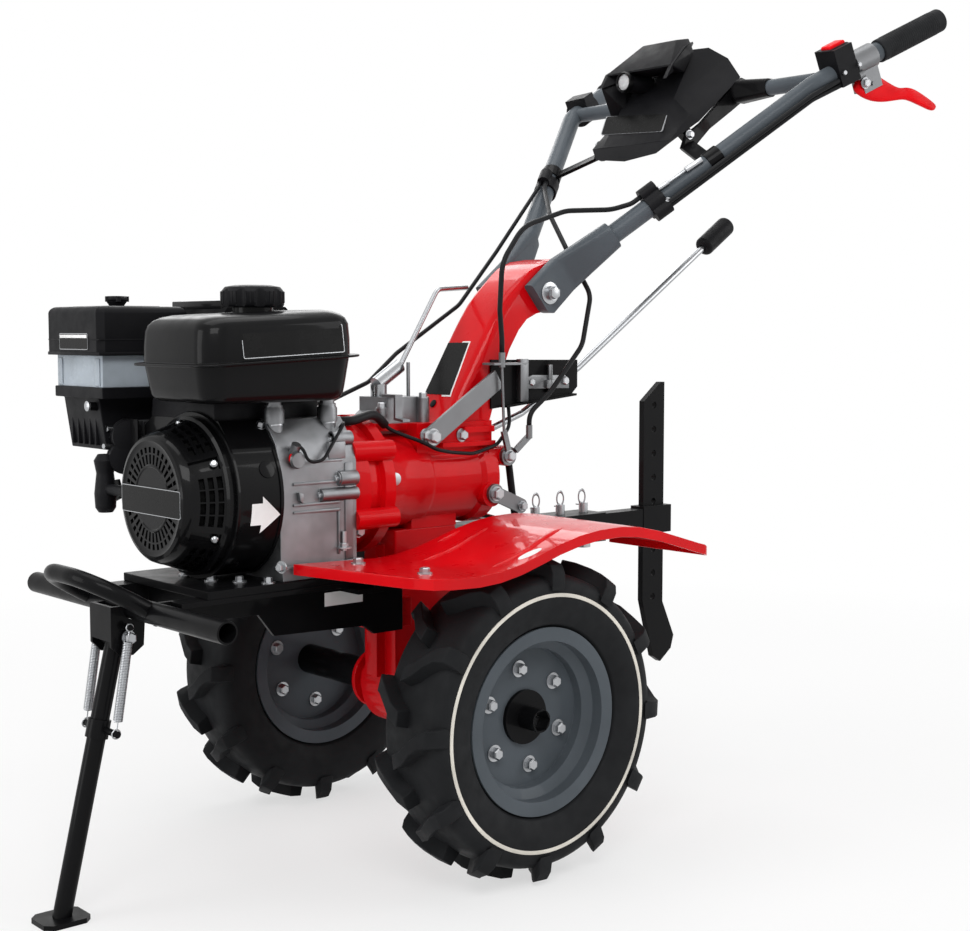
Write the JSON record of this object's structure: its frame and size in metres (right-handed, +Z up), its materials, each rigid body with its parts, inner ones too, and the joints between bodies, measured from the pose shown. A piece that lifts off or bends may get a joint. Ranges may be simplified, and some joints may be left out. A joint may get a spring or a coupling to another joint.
{
  "type": "walk-behind power weeder",
  "caption": "Walk-behind power weeder with petrol engine, gearbox, lugged drive wheels, mudguards, front prop stand, depth bar and handlebars.",
  "frame": {"origin": "on the ground, under the middle of the whole machine", "axes": "+X towards the engine and bumper (travel), +Y to the machine's left, +Z up"},
  "size_m": [1.3033, 0.6458, 1.1512],
  "materials": {
    "paint_red": "gloss",
    "paint_black": "satin",
    "paint_grey": "semi-gloss",
    "plastic_black": "fine grain",
    "plastic_gloss": "gloss",
    "plastic_red": "gloss",
    "bowl_grey": "translucent",
    "rubber": "matt",
    "tyre": "matt",
    "aluminium": "as cast",
    "zinc": "bright zinc",
    "lamp": "clear"
  },
  "bodies": {
    "chassis": {"air_filter_base": "plastic_black", "air_filter_bowl": "bowl_grey", "air_filter_cover": "plastic_black", "bumper_loop": "paint_black", "bumper_tube": "paint_black", "carburettor": "aluminium", "clutch_housing": "paint_red", "clutch_link": "zinc", "control_cables": "rubber", "crankcase": "aluminium", "cylinder_head": "aluminium", "drive_case": "paint_red", "engine_plate": "paint_black", "fan_shroud": "plastic_gloss", "fender_left": "paint_red", "fender_right": "paint_red", "fender_stay_left": "paint_black", "fender_stay_right": "paint_black", "frame_rails": "paint_black", "fuel_cap": "plastic_black", "fuel_tank": "plastic_gloss", "gate_plate": "paint_black", "gearbox_case": "paint_red", "handle_column": "paint_red", "hitch_beam": "paint_black", "hitch_pins": "zinc", "muffler": "paint_black", "pivot_bolt": "zinc", "recoil_starter": "plastic_gloss", "selector_cover": "aluminium", "selector_rod": "zinc", "shift_knob": "plastic_black", "shift_lever": "zinc", "shift_linkage": "zinc", "stand_bracket": "paint_black", "starter_grip": "plastic_black"},
    "wheel_set": {"axle_shaft": "zinc", "hub_left": "paint_black", "hub_right": "paint_black", "rim_left": "paint_grey", "rim_right": "paint_grey", "tyre_left": "tyre", "tyre_right": "tyre"},
    "stand": {"stand_leg": "paint_black", "stand_springs": "zinc"},
    "handlebar": {"handlebar_left": "paint_grey", "handlebar_right": "paint_grey", "handlebar_cross": "paint_grey", "grip_left": "rubber", "grip_right": "rubber", "switch_box": "plastic_black", "lever_perch": "paint_black", "clutch_lever": "plastic_red", "throttle_cluster": "plastic_black", "console_cover": "plastic_black", "console_frame": "paint_black", "headlight": "lamp", "cable_clips": "plastic_black", "bar_cables": "rubber"},
    "depth_bar": {"depth_bar": "paint_black"}
  },
  "joints": [
    {"name": "wheel_spin", "type": "hinge", "parent": "chassis", "child": "wheel_set", "pos_m": [0.1134, 0, 0.203], "axis": [0, 1, 0], "continuous": true},
    {"name": "stand_fold", "type": "hinge", "parent": "chassis", "child": "stand", "pos_m": [0.5454, 0, 0.327], "axis": [0, 1, 0], "range_deg": [0, 85], "deforming": ["stand_springs"]},
    {"name": "handlebar_tilt", "type": "hinge", "parent": "chassis", "child": "handlebar", "pos_m": [-0.0926, 0, 0.733], "axis": [0, 1, 0], "range_deg": [-12, 12], "deforming": ["control_cables"]},
    {"name": "depth_bar_slide", "type": "slide", "parent": "chassis", "child": "depth_bar", "axis": [0, 0, 1], "range_m": [-0.111, 0.074]}
  ]
}
